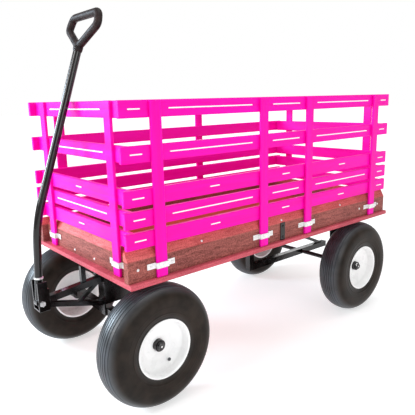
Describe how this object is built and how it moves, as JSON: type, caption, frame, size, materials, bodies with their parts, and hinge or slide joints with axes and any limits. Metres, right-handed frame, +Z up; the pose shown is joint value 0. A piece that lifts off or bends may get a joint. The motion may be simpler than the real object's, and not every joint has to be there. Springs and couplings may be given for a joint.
{
  "type": "wagon with pull handle",
  "caption": "Stake-sided garden wagon with a timber deck, lift-off slatted racks, pneumatic tyres, a steered front axle and a tilting pull handle.",
  "frame": {"origin": "on the ground, on the centre line, under the middle of the whole wagon from the parked handle's foot to the rear tyres", "axes": "+Z up, the wagon faces -Y, its left side is +X"},
  "size_m": [0.598, 1.2726, 1.0196],
  "materials": {
    "wood": "satin stain",
    "pink": "gloss",
    "zinc": "zinc plated",
    "black_steel": "gloss black powder coat",
    "tyre": "ribbed rubber",
    "white_steel": "gloss white paint"
  },
  "bodies": {
    "wagon": {"deck_floor": "wood", "board_left": "wood", "board_right": "wood", "board_front": "wood", "board_rear": "wood", "pocket_left_1": "zinc", "pocket_left_2": "zinc", "pocket_left_3": "zinc", "pocket_left_4": "zinc", "pocket_right_1": "zinc", "pocket_right_2": "zinc", "pocket_right_3": "zinc", "pocket_right_4": "zinc", "pocket_front_1": "zinc", "pocket_front_2": "zinc", "pocket_rear_1": "zinc", "pocket_rear_2": "zinc", "side_strap_left": "black_steel", "side_strap_right": "black_steel", "turntable_upper": "black_steel", "kingpin": "zinc", "rear_frame": "black_steel", "rear_axle": "black_steel", "axle_cap_rear_left": "zinc", "axle_cap_rear_right": "zinc"},
    "front_truck": {"front_axle": "black_steel", "steering_tower": "black_steel", "tongue": "black_steel", "handle_bolt": "zinc", "axle_cap_front_left": "zinc", "axle_cap_front_right": "zinc"},
    "handle": {"handle": "black_steel"},
    "wheel_front_left": {"tyre_front_left": "tyre", "rim_front_left": "white_steel"},
    "wheel_front_right": {"tyre_front_right": "tyre", "rim_front_right": "white_steel"},
    "wheel_rear_left": {"tyre_rear_left": "tyre", "rim_rear_left": "white_steel"},
    "wheel_rear_right": {"tyre_rear_right": "tyre", "rim_rear_right": "white_steel"},
    "rack_left": {"left_slat_1": "pink", "left_slat_2": "pink", "left_slat_3": "pink", "left_slat_4": "pink", "left_slat_5": "pink", "left_stake_1": "pink", "left_stake_2": "pink", "left_stake_3": "pink", "left_stake_4": "pink"},
    "rack_right": {"right_slat_1": "pink", "right_slat_2": "pink", "right_slat_3": "pink", "right_slat_4": "pink", "right_slat_5": "pink", "right_stake_1": "pink", "right_stake_2": "pink", "right_stake_3": "pink", "right_stake_4": "pink"},
    "rack_front": {"front_rack": "pink"},
    "rack_rear": {"rear_rack": "pink"}
  },
  "joints": [
    {"name": "front_steer", "type": "hinge", "parent": "wagon", "child": "front_truck", "pos_m": [0, -0.42075, 0.3], "axis": [0, 0, 1], "range_deg": [-22, 22]},
    {"name": "handle_tilt", "type": "hinge", "parent": "front_truck", "child": "handle", "pos_m": [0, -0.62375, 0.263], "axis": [1, 0, 0], "range_deg": [0, 120]},
    {"name": "wheel_spin_front_left", "type": "hinge", "parent": "front_truck", "child": "wheel_front_left", "pos_m": [0.2515, -0.42075, 0.165], "axis": [1, 0, 0], "continuous": true},
    {"name": "wheel_spin_front_right", "type": "hinge", "parent": "front_truck", "child": "wheel_front_right", "pos_m": [-0.2515, -0.42075, 0.165], "axis": [1, 0, 0], "continuous": true},
    {"name": "wheel_spin_rear_left", "type": "hinge", "parent": "wagon", "child": "wheel_rear_left", "pos_m": [0.2515, 0.47025, 0.165], "axis": [1, 0, 0], "continuous": true},
    {"name": "wheel_spin_rear_right", "type": "hinge", "parent": "wagon", "child": "wheel_rear_right", "pos_m": [-0.2515, 0.47025, 0.165], "axis": [1, 0, 0], "continuous": true},
    {"name": "rack_lift_left", "type": "slide", "parent": "wagon", "child": "rack_left", "axis": [0, 0, 1], "range_m": [0, 0.1]},
    {"name": "rack_lift_right", "type": "slide", "parent": "wagon", "child": "rack_right", "axis": [0, 0, 1], "range_m": [0, 0.1]},
    {"name": "rack_lift_front", "type": "slide", "parent": "wagon", "child": "rack_front", "axis": [0, 0, 1], "range_m": [0, 0.015]},
    {"name": "rack_lift_rear", "type": "slide", "parent": "wagon", "child": "rack_rear", "axis": [0, 0, 1], "range_m": [0, 0.1]}
  ]
}
